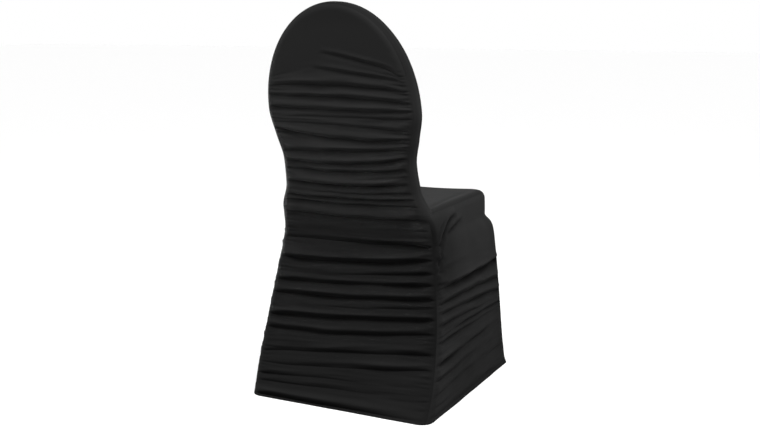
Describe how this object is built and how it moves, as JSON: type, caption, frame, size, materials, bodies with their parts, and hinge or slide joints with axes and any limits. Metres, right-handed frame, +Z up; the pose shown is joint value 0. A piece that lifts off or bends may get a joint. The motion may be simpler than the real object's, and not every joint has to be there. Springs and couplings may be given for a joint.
{
  "type": "banquet chair cover",
  "caption": "Hollow fitted stretch-cloth cover for a round-top banquet chair, with a domed back, ruched back and side panels, a plain seat and a skirt to the floor.",
  "frame": {"origin": "on the floor, at the centre of the cover's footprint box", "axes": "+Z up, -Y the way the chair faces, +X the sitter's left"},
  "size_m": [0.4838, 0.536, 0.943],
  "materials": {
    "back_panel": "matt black knitted stretch cloth, gathered",
    "front_panel": "matt black knitted stretch cloth, plain",
    "side_panel_left": "matt black knitted stretch cloth, gathered",
    "side_panel_right": "matt black knitted stretch cloth, gathered"
  },
  "bodies": {
    "root": {"back_panel": "back_panel", "front_panel": "front_panel", "side_panel_left": "side_panel_left", "side_panel_right": "side_panel_right"}
  },
  "joints": []
}
